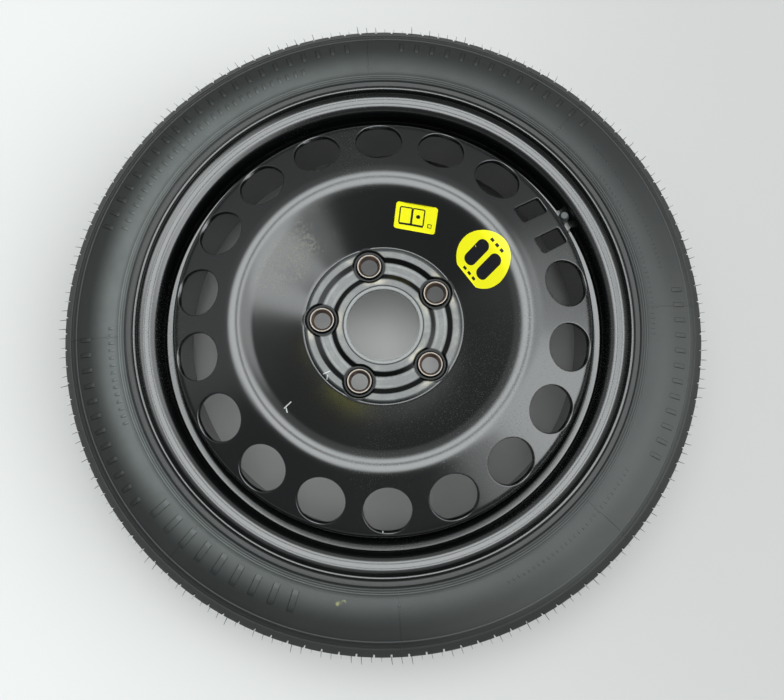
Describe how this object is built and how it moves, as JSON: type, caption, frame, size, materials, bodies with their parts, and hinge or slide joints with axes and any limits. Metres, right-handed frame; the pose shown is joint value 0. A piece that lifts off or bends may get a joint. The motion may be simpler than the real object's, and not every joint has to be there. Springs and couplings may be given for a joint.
{
  "type": "space saver spare wheel",
  "caption": "Narrow temporary spare wheel: tyre on a black two-piece steel wheel with a dished, vented disc and a snap-in valve.",
  "frame": {"origin": "centre of the bolt circle on the hub mounting face", "axes": "+Z along the wheel axis towards the outboard side, +X through the valve"},
  "size_m": [0.573, 0.573, 0.1473],
  "materials": {
    "tyre": "moulded black rubber with a dull sheen",
    "rim_paint": "gloss black dip coat",
    "disc_paint": "gloss black dip coat, dusty and worn at the hub",
    "weld_paint": "black dip coat over rough weld",
    "valve_rubber": "smooth black rubber",
    "brass": "turned brass",
    "spring_steel": "drawn wire",
    "cap_plastic": "grey moulded plastic",
    "label_yellow": "printed vinyl film"
  },
  "bodies": {
    "wheel": {"tyre": "tyre", "rim": "rim_paint", "disc": "disc_paint", "weld_beads": "weld_paint", "valve_body": "valve_rubber", "valve_stem": "brass", "core_body": "brass", "core_spring": "spring_steel", "book_label": "label_yellow", "round_label": "label_yellow"},
    "cap": {"valve_cap": "cap_plastic", "cap_seal": "valve_rubber"},
    "pin": {"core_pin": "brass", "core_seal": "valve_rubber"}
  },
  "joints": [
    {"name": "cap_pull", "type": "slide", "parent": "wheel", "child": "cap", "axis": [-0.0436, 0, 0.999], "range_m": [0, 0.012]},
    {"name": "pin_press", "type": "slide", "parent": "wheel", "child": "pin", "axis": [0.0436, 0, -0.999], "range_m": [0, 0.0012], "stiffness_N_per_m": 300, "springref_m": -0.002, "deforming": ["core_spring"]}
  ]
}
